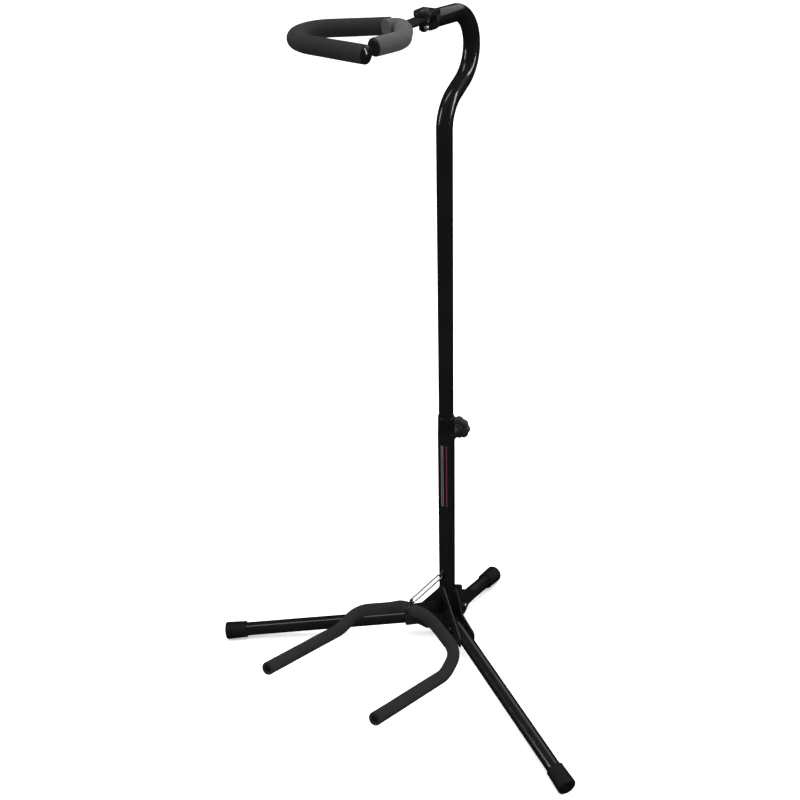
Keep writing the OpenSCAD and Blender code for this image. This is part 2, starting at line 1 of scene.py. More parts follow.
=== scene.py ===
"""Folding tripod instrument stand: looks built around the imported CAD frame, in metres."""

import json
from math import acos, asin, ceil, cos, pi, radians, sin, tan

import bmesh
import bpy
from mathutils import Matrix, Vector, noise


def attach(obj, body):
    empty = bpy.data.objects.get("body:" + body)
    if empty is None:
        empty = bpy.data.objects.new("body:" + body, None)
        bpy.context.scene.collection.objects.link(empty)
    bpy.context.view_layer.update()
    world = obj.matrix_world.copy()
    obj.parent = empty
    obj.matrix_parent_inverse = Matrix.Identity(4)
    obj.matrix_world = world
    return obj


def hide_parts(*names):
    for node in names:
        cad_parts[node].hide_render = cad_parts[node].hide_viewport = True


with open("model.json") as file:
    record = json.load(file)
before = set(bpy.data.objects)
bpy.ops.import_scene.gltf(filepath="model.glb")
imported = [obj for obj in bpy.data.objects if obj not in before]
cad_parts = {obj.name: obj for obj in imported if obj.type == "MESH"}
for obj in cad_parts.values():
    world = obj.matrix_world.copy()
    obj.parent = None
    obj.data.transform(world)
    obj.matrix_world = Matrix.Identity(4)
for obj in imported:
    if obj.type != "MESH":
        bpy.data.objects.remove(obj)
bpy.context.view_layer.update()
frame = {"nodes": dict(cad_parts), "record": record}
nodes = frame["nodes"]
body_of_node = {n: b for b, ns in frame["record"]["behaviour"]["bodies"].items() for n in ns}
slot_of_node = {s["node"]: s["material_slot"] for s in frame["record"]["subparts"]}

MM = 0.001
FLOOR_Z = 0.0


# ------------------------------------------------------------------ camera

CAMERA_AZIMUTH, CAMERA_ELEVATION, CAMERA_ROLL = 33.45, 31.45, -1.75
CAMERA_AIM_Z, CAMERA_DISTANCE, CAMERA_SHIFT = 398.2, 1456.9, 58.3
SENSOR_MM, LENS_MM = 36, 51.8


def make_camera():
    """A camera at the front right of the stand, looking down on it."""
    azimuth, elevation = radians(CAMERA_AZIMUTH), radians(CAMERA_ELEVATION)
    roll = radians(CAMERA_ROLL)
    back = Vector((sin(azimuth) * cos(elevation), -cos(azimuth) * cos(elevation), sin(elevation)))
    level = Vector((cos(azimuth), sin(azimuth), 0))
    above = back.cross(level)
    right = level * cos(roll) + above * sin(roll)
    up = above * cos(roll) - level * sin(roll)
    place = Vector((0, 0, CAMERA_AIM_Z)) + back * CAMERA_DISTANCE - level * CAMERA_SHIFT
    cam = bpy.data.cameras.new("camera")
    cam.sensor_width = SENSOR_MM
    cam.lens = LENS_MM
    cam.clip_start = 0.05
    cam.clip_end = 60
    ob = bpy.data.objects.new("camera", cam)
    turn = Matrix((right, up, back)).transposed().to_4x4()
    ob.matrix_world = Matrix.Translation(place * MM) @ turn
    bpy.context.scene.collection.objects.link(ob)
    bpy.context.scene.camera = ob


# ------------------------------------------------------------------ materials

def new_material(name):
    mat = bpy.data.materials.new(name)
    mat.use_nodes = True
    tree = mat.node_tree
    shader = next(n for n in tree.nodes if n.type == "BSDF_PRINCIPLED")
    coords = tree.nodes.new("ShaderNodeTexCoord")
    return mat, tree, shader, coords.outputs["Object"]


def noise_node(tree, where, scale, detail=3.0, rough=0.5, stretch=None):
    """A noise texture on the object's own coordinates, stretched along its axes if asked."""
    if stretch:
        mapping = tree.nodes.new("ShaderNodeMapping")
        mapping.inputs["Scale"].default_value = stretch
        tree.links.new(where, mapping.inputs["Vector"])
        where = mapping.outputs["Vector"]
    tex = tree.nodes.new("ShaderNodeTexNoise")
    tex.inputs["Scale"].default_value = scale
    tex.inputs["Detail"].default_value = detail
    tex.inputs["Roughness"].default_value = rough
    tree.links.new(where, tex.inputs["Vector"])
    return tex.outputs["Fac"]


def cells_node(tree, where, scale):
    tex = tree.nodes.new("ShaderNodeTexVoronoi")
    tex.feature = "F1"
    tex.inputs["Scale"].default_value = scale
    tree.links.new(where, tex.inputs["Vector"])
    return tex.outputs["Distance"]


def ramp_node(tree, value, stops):
    """A colour ramp: stops are (place, colour) pairs."""
    ramp = tree.nodes.new("ShaderNodeValToRGB")
    for i, (place, colour) in enumerate(stops):
        element = ramp.color_ramp.elements[i] if i < 2 else ramp.color_ramp.elements.new(place)
        element.position = place
        element.color = (*colour, 1)
    tree.links.new(value, ramp.inputs["Fac"])
    return ramp.outputs["Color"]


def range_node(tree, value, low, high, source=(0.3, 0.7)):
    node = tree.nodes.new("ShaderNodeMapRange")
    node.inputs["From Min"].default_value = source[0]
    node.inputs["From Max"].default_value = source[1]
    node.inputs["To Min"].default_value = low
    node.inputs["To Max"].default_value = high
    tree.links.new(value, node.inputs["Value"])
    return node.outputs["Result"]


def bump_node(tree, height, strength, depth_mm, under=None):
    node = tree.nodes.new("ShaderNodeBump")
    node.inputs["Strength"].default_value = strength
    node.inputs["Distance"].default_value = depth_mm * MM
    tree.links.new(height, node.inputs["Height"])
    if under is not None:
        tree.links.new(under, node.inputs["Normal"])
    return node.outputs["Normal"]


def hard_material(name, dark, light, rough, grain, grain_mm, colour_scale=18, metallic=0.0, level=0.5,
                  coat=0.0, ripple_mm=0.0, stretch=None):
    """Paint, plastic, rubber or metal: mottled colour, uneven gloss and a fine grain."""
    mat, tree, shader, where = new_material(name)
    shader.inputs["Metallic"].default_value = metallic
    shader.inputs["Specular IOR Level"].default_value = level
    shader.inputs["Coat Weight"].default_value = coat
    shader.inputs["Coat Roughness"].default_value = 0.08
    mottle = noise_node(tree, where, colour_scale, 5)
    tree.links.new(ramp_node(tree, mottle, [(0.3, dark), (0.7, light)]), shader.inputs["Base Color"])
    smears = noise_node(tree, where, colour_scale * 4, 6, 0.6, stretch)
    tree.links.new(range_node(tree, smears, rough[0], rough[1]), shader.inputs["Roughness"])
    fine = bump_node(tree, noise_node(tree, where, grain, 4, 0.6, stretch), 0.6, grain_mm)
    if ripple_mm:
        fine = bump_node(tree, noise_node(tree, where, 160, 1), 0.5, ripple_mm, fine)
    tree.links.new(fine, shader.inputs["Normal"])
    return mat


def foam_material(name, dark, light, sheen):
    """Closed-cell foam: small cells, pits where cells are cut open with painted shade darkening the colour
    inside them, and a dusty bloom.
    """
    mat, tree, shader, where = new_material(name)
    shader.inputs["Specular IOR Level"].default_value = 0.25
    shader.inputs["Sheen Weight"].default_value = sheen
    shader.inputs["Sheen Roughness"].default_value = 0.6
    patches = noise_node(tree, where, 45, 5, 0.6)
    cells = cells_node(tree, where, 1100)
    pits = cells_node(tree, where, 420)
    tone = ramp_node(tree, patches, [(0.3, dark), (0.7, light)])
    # painted shade: the foam colour is darkened in the pits, as if shade fell into them
    painted_pit_shade = ramp_node(tree, pits, [(0.08, (0.45, 0.45, 0.45)), (0.3, (1, 1, 1))])
    mix = tree.nodes.new("ShaderNodeMix")
    mix.data_type = "RGBA"
    mix.blend_type = "MULTIPLY"
    mix.inputs["Factor"].default_value = 0.6
    tree.links.new(tone, mix.inputs["A"])
    tree.links.new(painted_pit_shade, mix.inputs["B"])
    tree.links.new(mix.outputs["Result"], shader.inputs["Base Color"])
    tree.links.new(range_node(tree, patches, 0.72, 0.9), shader.inputs["Roughness"])
    skin = bump_node(tree, noise_node(tree, where, 260, 3), 0.5, 0.25)
    skin = bump_node(tree, pits, 0.35, 0.25, skin)
    tree.links.new(bump_node(tree, cells, 0.5, 0.12, skin), shader.inputs["Normal"])
    return mat


def grey(value):
    return (value, value, value * 1.02)


def make_materials():
    return {
        "gloss_black_paint": hard_material("gloss_black_paint", grey(0.0050), grey(0.0070), (0.16, 0.24),
                                           1500, 0.0005, level=0.5, coat=0.3),
        "satin_black_paint": hard_material("satin_black_paint", grey(0.006), grey(0.014), (0.28, 0.45),
                                           900, 0.02, level=0.45, ripple_mm=0.02),
        "bright_rivet": hard_material("bright_rivet", grey(0.42), grey(0.66), (0.22, 0.42), 1800, 0.01,
                                      metallic=1.0),
        "chrome_wire": hard_material("chrome_wire", grey(0.72), grey(0.86), (0.04, 0.12), 2500, 0.002,
                                     metallic=1.0, stretch=(1, 0.15, 1)),
        "black_plastic": hard_material("black_plastic", grey(0.005), grey(0.009), (0.36, 0.5), 1400, 0.03,
                                       level=0.3),
        "gloss_black_plastic": hard_material("gloss_black_plastic", grey(0.004), grey(0.008), (0.08, 0.16),
                                             1200, 0.003, level=0.5, coat=0.2),
        "knob_plastic": hard_material("knob_plastic", grey(0.010), grey(0.020), (0.34, 0.5), 1500, 0.035,
                                      level=0.45),
        "nylon": hard_material("nylon", (0.60, 0.57, 0.48), (0.72, 0.69, 0.60), (0.4, 0.5), 900, 0.02),
        "black_rubber": hard_material("black_rubber", grey(0.0032), grey(0.0062), (0.5, 0.7), 1100, 0.05,
                                      level=0.25),
        "dark_foam": foam_material("dark_foam", grey(0.0082), grey(0.0126), 0.02),
        "light_foam": foam_material("light_foam", grey(0.037), grey(0.050), 0.04),
        "red_print": hard_material("red_print", (0.10, 0.006, 0.016), (0.16, 0.012, 0.028), (0.25, 0.4),
                                   1500, 0.004),
        "pale_print": hard_material("pale_print", grey(0.10), grey(0.16), (0.25, 0.4), 1500, 0.004),
    }


# ------------------------------------------------------------------ mesh tools

def rounded_path(corners, radii, step):
    """Points and directions along a line of corners, each rounded to its own radius, in mm."""
    corners = [Vector(c) for c in corners]
    heads = [(b - a).normalized() for a, b in zip(corners, corners[1:])]
    stations = []

    def straight(a, b, d):
        count = max(1, ceil((b - a).length / step))
        for k in range(count + 1):
            stations.append((a.lerp(b, k / count), d))

    here = corners[0]
    for i in range(1, len(corners) - 1):
        a, b = heads[i - 1], heads[i]
        turn = acos(max(-1, min(1, a.dot(b))))
        cut = radii[i] * tan(turn / 2)
        inward = a.cross(b).normalized().cross(a)
        start = corners[i] - a * cut
        if (start - here).dot(a) > 1e-6:
            straight(here, start, a)
        count = max(2, ceil(radii[i] * turn / step))
        for k in range(count + 1):
            t = turn * k / count
            stations.append((start + radii[i] * (inward * (1 - cos(t)) + a * sin(t)),
                             a * cos(t) + inward * sin(t)))
        here = corners[i] + b * cut
    straight(here, corners[-1], heads[-1])
    kept = [stations[0]]
    for p, d in stations[1:]:
        if (p - kept[-1][0]).length > 1e-4:
            kept.append((p, d))
    return kept


class Line:
    """A path with a steady sideways frame, read off by distance along it."""

    def __init__(self, stations):
        self.points = [p for p, _ in stations]
        self.heads = [d.normalized() for _, d in stations]
        self.at = [0.0]
        for a, b in zip(self.points, self.points[1:]):
            self.at.append(self.at[-1] + (b - a).length)
        d = self.heads[0]
        first = Vector((0, 0, 1)) if abs(d.z) < 0.7 else Vector((1, 0, 0))
        self.sides = [(first - d * first.dot(d)).normalized()]
        for d in self.heads[1:]:
            u = self.sides[-1]
            self.sides.append((u - d * u.dot(d)).normalized())
        self.length = self.at[-1]

    def frame(self, s):
        """Point, sideways and across directions at distance s; it runs on straight past its ends."""
        if s <= 0:
            p, d, u = self.points[0] + self.heads[0] * s, self.heads[0], self.sides[0]
        elif s >= self.length:
            p, d, u = self.points[-1] + self.heads[-1] * (s - self.length), self.heads[-1], self.sides[-1]
        else:
            low, high = 0, len(self.at) - 1
            while high - low > 1:
                mid = (low + high) // 2
                low, high = (mid, high) if self.at[mid] <= s else (low, mid)
            w = (s - self.at[low]) / (self.at[high] - self.at[low])
            p = self.points[low].lerp(self.points[high], w)
            d = self.heads[low].lerp(self.heads[high], w).normalized()
            u = self.sides[low].lerp(self.sides[high], w)
            u = (u - d * u.dot(d)).normalized()
        return p, u, d.cross(u)

    def bend(self, s):
        """Direction towards the inside of the bend, as long as the curvature is strong, per mm."""
        i = min(max(1, next((k for k, a in enumerate(self.at) if a >= s), 1)), len(self.at) - 2)
        span = self.at[i + 1] - self.at[i - 1]
        return (self.heads[i + 1] - self.heads[i - 1]) / max(span, 1e-6)


def straight_line(start, end):
    start, end = Vector(start), Vector(end)
    d = (end - start).normalized()
    return Line([(start, d), (end, d)])


def spin(bm, line, profile, sides, closed=False, shape=None):
    """Adds a skin to bm: each (distance, radius) of the profile is a ring about the line."""
    rings = []
    for s, r in profile:
        p, u, v = line.frame(s)
        if r < 1e-6:
            rings.append([bm.verts.new(p * MM)])
            continue
        ring = []
        for k in range(sides):
            t = 2 * pi * k / sides
            out = u * cos(t) + v * sin(t)
            radius = shape(s, r, t, p, out) if shape else r
            ring.append(bm.verts.new((p + out * radius) * MM))
        rings.append(ring)
    pairs = list(zip(rings, rings[1:])) + ([(rings[-1], rings[0])] if closed else [])
    for a, b in pairs:
        for k in range(sides):
            m = (k + 1) % sides
            if len(a) == 1 and len(b) == 1:
                continue
            if len(a) == 1:
                bm.faces.new((a[0], b[m], b[k]))
            elif len(b) == 1:
                bm.faces.new((a[k], a[m], b[0]))
            else:
                bm.faces.new((a[k], a[m], b[m], b[k]))


def finish_mesh(bm, name, body, slot, materials, stands_for=(), sharp=40):
    """Makes an object of bm with smooth shading, its finish and its place in the frame."""
    bmesh.ops.recalc_face_normals(bm, faces=bm.faces)
    mesh = bpy.data.meshes.new(name)
    bm.to_mesh(mesh)
    bm.free()
    mesh.polygons.foreach_set("use_smooth", [True] * len(mesh.polygons))
    mesh.set_sharp_from_angle(angle=radians(sharp))
    ob = bpy.data.objects.new(name, mesh)
    bpy.context.scene.collection.objects.link(ob)
    mesh.materials.append(materials[slot])
    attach(ob, body)
    if stands_for:
        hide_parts(*stands_for)
    return ob


def softened(node, width_mm, materials, name):
    """A copy of a CAD node with its hard edges broken, which stands for it."""
    flat_angle, edge_angle = radians(0.6), radians(35)
    bm = bmesh.new()
    bm.from_mesh(nodes[node].data)
    bmesh.ops.remove_doubles(bm, verts=bm.verts, dist=1e-6)
    bmesh.ops.dissolve_limit(bm, angle_limit=flat_angle, verts=bm.verts, edges=bm.edges)
    bmesh.ops.recalc_face_normals(bm, faces=bm.faces)
    edges = [e for e in bm.edges if len(e.link_faces) == 2 and e.calc_face_angle(0) > edge_angle]
    bmesh.ops.bevel(bm, geom=edges, offset=width_mm * MM, segments=2, profile=0.5,
                    affect="EDGES", clamp_overlap=True)
    bmesh.ops.triangulate(bm, faces=[f for f in bm.faces if len(f.verts) > 4])
    for layer in list(bm.loops.layers.float_vector.values()) + list(bm.loops.layers.uv.values()):
        if "normal" in layer.name:
            bm.loops.layers.float_vector.remove(layer)
    ob = finish_mesh(bm, name, body_of_node[node], slot_of_node[node], materials, (node,), sharp=30)
    for attribute in [a for a in ob.data.attributes if "custom_normal" in a.name]:
        ob.data.attributes.remove(attribute)
    return ob


def rim(s, r, width, count, towards, turn):
    """Quarter-round steps at a rim: from (s, r - width) out to (s + towards * width, r)."""
    steps = []
    for k in range(count + 1):
        t = pi / 2 * k / count
        steps.append((s + towards * width * (1 - cos(t)), r - width * (1 - sin(t))))
    return steps if turn > 0 else steps[::-1]


# ------------------------------------------------------------------ tubes and rods

COLUMN_R, COLUMN_BORE_R = 11.1, 10.1
MAST_R = 9.525
MAST_BORE_R = 8.35
MAST_BOTTOM, MAST_STRAIGHT_TOP = 290, 746
LEAN_R, LEAN_ANGLE, LEAN_RUN = 42, radians(62), 18
CROOK_R, CROOK_ANGLE, CROOK_RUN = 41, radians(148), 50


def mast_stations():
    """Centre line of the mast: straight, a lean back, and a crook forward."""
    out = [(Vector((0, 0, MAST_BOTTOM + (MAST_STRAIGHT_TOP - MAST_BOTTOM) * k / 40)), Vector((0, 0, 1)))
           for k in range(40)]
    for k in range(33):
        t = LEAN_ANGLE * k / 32
        out.append((Vector((0, LEAN_R * (1 - cos(t)), MAST_STRAIGHT_TOP + LEAN_R * sin(t))),
                    Vector((0, sin(t), cos(t)))))
    p, d = out[-1]
    start = p + d * LEAN_RUN
    inward = Vector((0, -cos(LEAN_ANGLE), sin(LEAN_ANGLE)))
    centre = start + inward * CROOK_R
    for k in range(73):
        t = CROOK_ANGLE * k / 72
        out.append((centre + CROOK_R * (-inward * cos(t) + d * sin(t)), inward * sin(t) + d * cos(t)))
    p, d = out[-1]
    out.append((p + d * CROOK_RUN, d))
    return out


def build_mast(materials):
    line = Line(mast_stations())
    bm = bmesh.new()
    inner = [(line.at[k], MAST_BORE_R) for k in range(len(line.at) - 2, 0, -3)]
    outer = [(line.at[k], MAST_R) for k in range(1, len(line.at) - 1)]
    profile = (rim(0, MAST_R, 0.5, 3, 1, 1) + outer + rim(line.length, MAST_R, 0.4, 2, -1, -1)
               + [(line.length, MAST_BORE_R)] + inner + [(0, MAST_BORE_R)])
    spin(bm, line, profile, 72, closed=True)
    finish_mesh(bm, "mast", "mast", "gloss_black_paint", materials, ("mast_tube", "mast_crook"), 50)


YOKE_Y, YOKE_Z = -88, 112
YOKE_CORNERS = [(18, YOKE_Y, YOKE_Z), (36, YOKE_Y, 100), (78, -109, 92), (82, -144, 84)]
YOKE_RADII = [30, 30, 30, 40]
YOKE_TIP = (79, -300, 144)
YOKE_TIP_WAY = (Vector(YOKE_TIP) - Vector(YOKE_CORNERS[3])).normalized()
TIP_INSET, END_CAP_H = 4.3, 3
YOKE_ROD_END = tuple(Vector(YOKE_TIP) - TIP_INSET * YOKE_TIP_WAY)
YOKE_ROD_R, YOKE_FOAM_R = 4.75, 8.4
EYE_X, EYE_HALF_W, FOAM_GAP = -6, 2.5, 0.35


def mirrored(points):
    return [(-x, y, z) for x, y, z in points]


def solid_rod(name, line, radius, body, slot, materials, stands_for):
    sides, edge = 40, 0.5
    bm = bmesh.new()
    count = max(2, int(line.length / 2.2))
    body_rings = [(line.length * k / count, radius) for k in range(1, count)]
    profile = ([(0, 0)] + rim(0, radius, edge, 3, 1, 1) + body_rings
               + rim(line.length, radius, edge, 3, -1, -1) + [(line.length, 0)])
    spin(bm, line, profile, sides)
    return finish_mesh(bm, name, body, slot, materials, stands_for, 50)


def foam_sleeve(name, line, outer_r, inner_r, body, slot, materials, stands_for, seed, edge=1.1,
                plugged=0):
    """A foam tube slid over a rod: cut ends, a slightly lumpy skin, and creases inside its bends.

    The bore stops the plugged distance short of the line's end, or runs right through if that is 0."""
    bm = bmesh.new()
    step = 1.3
    count = max(8, int(line.length / step))
    bends = [line.bend(line.length * k / count) for k in range(count + 1)]

    def shape(s, r, t, p, out):
        if r < inner_r + 0.2:
            return r
        skin = (r - inner_r) / (outer_r - inner_r)
        slow = noise.noise((p + out * r) * 0.045 + Vector((seed, 0, 0)))
        quick = noise.noise((p + out * r) * 0.35 + Vector((0, seed, 0)))
        k = min(count, max(0, int(round(s / line.length * count))))
        inside = max(0.0, bends[k].dot(out)) * outer_r
        crease = -0.9 * inside * inside * (0.5 + 0.5 * sin(s * 1.25 + 2.0 * slow * 6))
        return r + skin * (0.16 * slow + 0.05 * quick + crease - 0.12)

    faces_in = [inner_r + (outer_r - edge - inner_r) * k / 4 for k in range(0, 5)]
    profile = [(0.35 * sin(pi * k / 4), r) for k, r in enumerate(faces_in)]
    profile += rim(0, outer_r, edge, 5, 1, 1)[1:]
    profile += [(line.length * k / count, outer_r) for k in range(2, count - 1)]
    profile += rim(line.length, outer_r, edge, 5, -1, -1)[:-1]
    bore_end = line.length - plugged
    bore_count = max(2, int(bore_end / 3))
    bore = [(bore_end * k / bore_count, inner_r) for k in range(bore_count, 0, -1)]
    if plugged:
        profile += [(line.length - 0.2 * sin(pi * k / 6), (outer_r - edge) * k / 6)
                    for k in range(6, -1, -1)]
        profile = [(bore_end, 0)] + bore + profile
    else:
        profile += [(line.length - 0.35 * sin(pi * k / 4), r)
                    for k, r in reversed(list(enumerate(faces_in)))] + bore[1:]
    spin(bm, line, profile, 56, closed=not plugged, shape=shape)
    ob = finish_mesh(bm, name, body, slot, materials, stands_for, 60)
    return ob


def cup(bm, line, radius, height):
    """Domed plastic cap on the line's start, bulging by height."""
    rows, sides = 9, 40
    sphere_r = (radius * radius + height * height) / (2 * height)
    profile = [(0, 0), (0, radius - 0.02)]
    for k in range(rows + 1):
        r = radius * cos(pi / 2 * k / rows)
        profile.append(((sphere_r * sphere_r - r * r) ** 0.5 - (sphere_r - height), 0 if k == rows else r))
    spin(bm, line, profile, sides)


def build_yoke(materials):
    corners = ([(-YOKE_ROD_END[0], *YOKE_ROD_END[1:])] + mirrored(YOKE_CORNERS[::-1]) + YOKE_CORNERS
               + [YOKE_ROD_END])
    radii = [0] + YOKE_RADII[::-1] + YOKE_RADII + [0]
    line = Line(rounded_path(corners, radii, 2.0))
    solid_rod("yoke_bar", line, YOKE_ROD_R, "yoke", "gloss_black_paint", materials, ("yoke_rod",))
    for side, corner_list, tip, seed in (
            ("left", mirrored(YOKE_CORNERS), (-YOKE_TIP[0], *YOKE_TIP[1:]), 3.7),
            ("right", YOKE_CORNERS, YOKE_TIP, 11.2)):
        sign = -1 if side == "left" else 1
        start = (EYE_X + sign * (EYE_HALF_W + FOAM_GAP), YOKE_Y, YOKE_Z)
        line = Line(rounded_path([start] + corner_list + [tip], [0] + YOKE_RADII + [0], 1.3))
        foam_sleeve(f"yoke_sleeve_{side}", line, YOKE_FOAM_R, YOKE_ROD_R, "yoke", "dark_foam", materials,
                    (f"yoke_foam_{side}",), seed)
    bm = bmesh.new()
    for sign in (-1, 1):
        end = Vector((sign * YOKE_ROD_END[0], *YOKE_ROD_END[1:]))
        way = Vector((sign * YOKE_TIP_WAY.x, YOKE_TIP_WAY.y, YOKE_TIP_WAY.z))
        cup(bm, straight_line(end, end + way), YOKE_ROD_R, END_CAP_H)
    finish_mesh(bm, "yoke_rod_caps", "yoke", "black_plastic", materials, ("yoke_end_caps",), 50)


# ------------------------------------------------------------------ neck holder and gate

BOLT_Y = 40
HOLDER_Z = 876.9
HOLDER_PATH = [(20.4, -158.8, HOLDER_Z), (29.5, -127.5, HOLDER_Z), (12.2, -96.8, HOLDER_Z),
               (-3.4, -80.4, HOLDER_Z), (-9.4, -93.2, HOLDER_Z)]
HOLDER_RADII = [0, 26, 26, 9.6, 0]
ROD_R = 4.0
HOLDER_FOAM_R, GATE_FOAM_R = 9.2, 9.2
FOAM_OVER = 2.5
GATE_EYE_BOTTOM, GATE_EYE_H = 869.5, 5.6
GATE_PATH = [(0, 0, 0), (-20, -27.5, 0), (-80, -80, 0), (-77, -138.5, 0), (27.5, -146.5, 0)]
GATE_RADII = [0, 14, 34, 43, 0]
GATE_BARE = 1.5
GATE_RISE = radians(2.2)
GATE_DROP = 1.2


def lengthened(path, extra):
    a, b, c, d = (Vector(path[0]), Vector(path[1]), Vector(path[-2]), Vector(path[-1]))
    return [tuple(a + (a - b).normalized() * extra)] + list(path[1:-1]) + [
        tuple(d + (d - c).normalized() * extra)]


def on_gate(p):
    x, y, z = p
    return (x, -BOLT_Y + y * cos(GATE_RISE) + z * sin(GATE_RISE),
            GATE_EYE_BOTTOM + GATE_EYE_H / 2 - GATE_DROP - y * sin(GATE_RISE) + z * cos(GATE_RISE))


def build_holder(materials):
    line = Line(rounded_path(HOLDER_PATH, HOLDER_RADII, 1.6))
    solid_rod("holder_hook", line, ROD_R, "mast", "gloss_black_paint", materials, ("holder_rod",))
    line = Line(rounded_path(lengthened(HOLDER_PATH, FOAM_OVER), HOLDER_RADII, 1.2))
    foam_sleeve("holder_sleeve", line, HOLDER_FOAM_R, ROD_R, "mast", "light_foam", materials,
                ("holder_foam",), 23.1, plugged=FOAM_OVER - 0.1)
    end = Vector(HOLDER_PATH[0])
    way = (end - Vector(HOLDER_PATH[1])).normalized()
    over, stem_r = FOAM_OVER, ROD_R - 0.02
    profile = [(0, 0), (0, stem_r), (over, stem_r), (over, 8.4), (over + 0.2, 8.7), (over + 0.6, 8.75),
               (over + 1.1, 8.4), (over + 1.5, 7.8), (over + 1.6, 7.2), (over + 1.5, 5), (over + 1.4, 0)]
    bm = bmesh.new()
    spin(bm, straight_line(end, end + way), profile, 64)
    finish_mesh(bm, "holder_plug", "mast", "black_plastic", materials, ("holder_end_cap",), 50)


def build_gate(materials):
    path = [on_gate(p) for p in GATE_PATH]
    bm = bmesh.new()
    eye = straight_line((0, -BOLT_Y, GATE_EYE_BOTTOM), (0, -BOLT_Y, GATE_EYE_BOTTOM + GATE_EYE_H))
    h, bore, ring = GATE_EYE_H, 3.07, 7.5
    profile = [(0.3, bore), (0, bore + 0.3)] + rim(0, ring, 0.7, 4, 1, 1) + rim(h, ring, 0.7, 4, -1, -1) + [
        (h, bore + 0.3), (h - 0.3, bore)]
    spin(bm, eye, profile, 56, closed=True)
    line = Line(rounded_path(path, GATE_RADII, 1.6))
    start, neck_r, neck_rings = 6.4, 2.75, 3
    count = int((line.length - start) / 2.0)
    rings = [(start + (line.length - start) * k / count, neck_r + 0.42 * k if k < neck_rings else ROD_R)
             for k in range(0, count)]
    profile = [(start, 0)] + rings + rim(line.length, ROD_R, 0.5, 3, -1, -1) + [(line.length, 0)]
    spin(bm, line, profile, 40)
    finish_mesh(bm, "gate_arm", "gate", "gloss_black_paint", materials, ("gate_rod",), 50)
    corner = Vector(path[1])
    foam_start = corner + (Vector(path[2]) - corner).normalized() * GATE_BARE
    line = Line(rounded_path([tuple(foam_start)] + path[2:], [0] + GATE_RADII[2:], 1.3))
    foam_sleeve("gate_sleeve", line, GATE_FOAM_R, ROD_R, "gate", "dark_foam", materials, ("gate_foam",),
                41.9)
    end = Vector(path[-1])
    way = (end - Vector(path[-2])).normalized()
    bm = bmesh.new()
    cap_r, cap_h = 9.1, 3.5
    sphere_r = (cap_r ** 2 + cap_h ** 2) / (2 * cap_h)
    widest = 0.97 * asin(cap_r / sphere_r)
    rows = 14
    angles = [widest * (1 - k / rows) for k in range(rows + 1)]
    profile = [(0, 0), (0, cap_r - 0.45)] + [
        (cap_h - sphere_r * (1 - cos(t)), sphere_r * sin(t)) for t in angles]
    spin(bm, straight_line(end, end + way), profile, 56)
    finish_mesh(bm, "gate_dome", "gate", "gloss_black_plastic", materials, ("gate_cap",), 60)


# ------------------------------------------------------------------ legs

ROOT_Z = 40
LEG_R = 9.525
# Each leg's azimuth in degrees, its reach and its end's height in mm.
LEGS = {"left": (212, 319, 11.6), "right": (328, 319, 11.6), "back": (90, 140, 11.2)}
LEG_INNER = 15
CAP_LEN, CAP_END_WALL = 30, 3.2


def leg_line(which):
    azimuth, reach, foot_z = LEGS[which]
    a = radians(azimuth)
    foot = Vector((reach * cos(a), reach * sin(a), foot_z))
    return straight_line((0, 0, ROOT_Z), foot)


def build_foot(which, materials):
    """Moulded rubber cap: a rolled mouth, a slightly swollen toe, a ringed end and a worn flat."""
    line = leg_line(which)
    length = line.length
    mouth, swell = 11.4, 12.4
    start = length - CAP_LEN
    floor_s = length - CAP_END_WALL
    profile = [(floor_s, 0), (floor_s, LEG_R + 0.01), (start + 0.5, LEG_R + 0.01),
               (start + 0.1, LEG_R + 0.3), (start, LEG_R + 0.8)]
    profile += rim(start, mouth + 0.25, 0.8, 4, 1, 1)[1:]
    profile += [(start + 2.6, mouth + 0.28), (start + 3.2, mouth + 0.1), (start + 3.9, mouth + 0.12)]
    for k in range(1, 12):
        w = k / 12
        profile.append((start + 3.9 + (CAP_LEN - 6.4) * w, mouth + 0.12 + (swell - mouth - 0.12) * w))
    for k in range(0, 7):
        t = pi / 2 * k / 6
        profile.append((length - 2.2 + 2.2 * sin(t), swell - 1.6 + 1.6 * cos(t)))
    profile += [(length, swell - 2.4), (length - 0.5, swell - 2.9), (length - 0.5, swell - 4.0),
                (length, swell - 4.5), (length, 3.0), (length - 0.4, 2.4), (length - 0.4, 0)]
    bm = bmesh.new()
    spin(bm, line, profile, 80)
    for v in bm.verts:
        v.co.z = max(v.co.z, FLOOR_Z)
    finish_mesh(bm, f"foot_cap_{which}", f"leg_{which}", "black_rubber", materials, (f"foot_{which}",), 50)


def build_leg(which, materials):
    line = leg_line(which)
    slope = (ROOT_Z - LEGS[which][2]) / LEGS[which][1]
    inner = LEG_INNER * (1 + slope * slope) ** 0.5
    end = line.length - CAP_END_WALL
    bm = bmesh.new()
    count = 60
    rings = [(inner + (end - inner) * k / count, LEG_R) for k in range(1, count)]
    profile = rim(inner, LEG_R, 0.5, 3, 1, 1) + rings + rim(end, LEG_R, 0.4, 2, -1, -1)
    profile += [(end, MAST_BORE_R), (inner, MAST_BORE_R)]
    spin(bm, line, profile, 72, closed=True)
    finish_mesh(bm, f"leg_tube_{which}", f"leg_{which}", "gloss_black_paint", materials,
                (f"leg_{which}",), 50)


# ------------------------------------------------------------------ column, collar, clamp

CLAMP_Z = 337
COLUMN_BOTTOM, COLUMN_TOP = 26, 348
COLLAR_H, COLLAR_SKIRT, COLLAR_TOP_R = 25, 6, 10.6


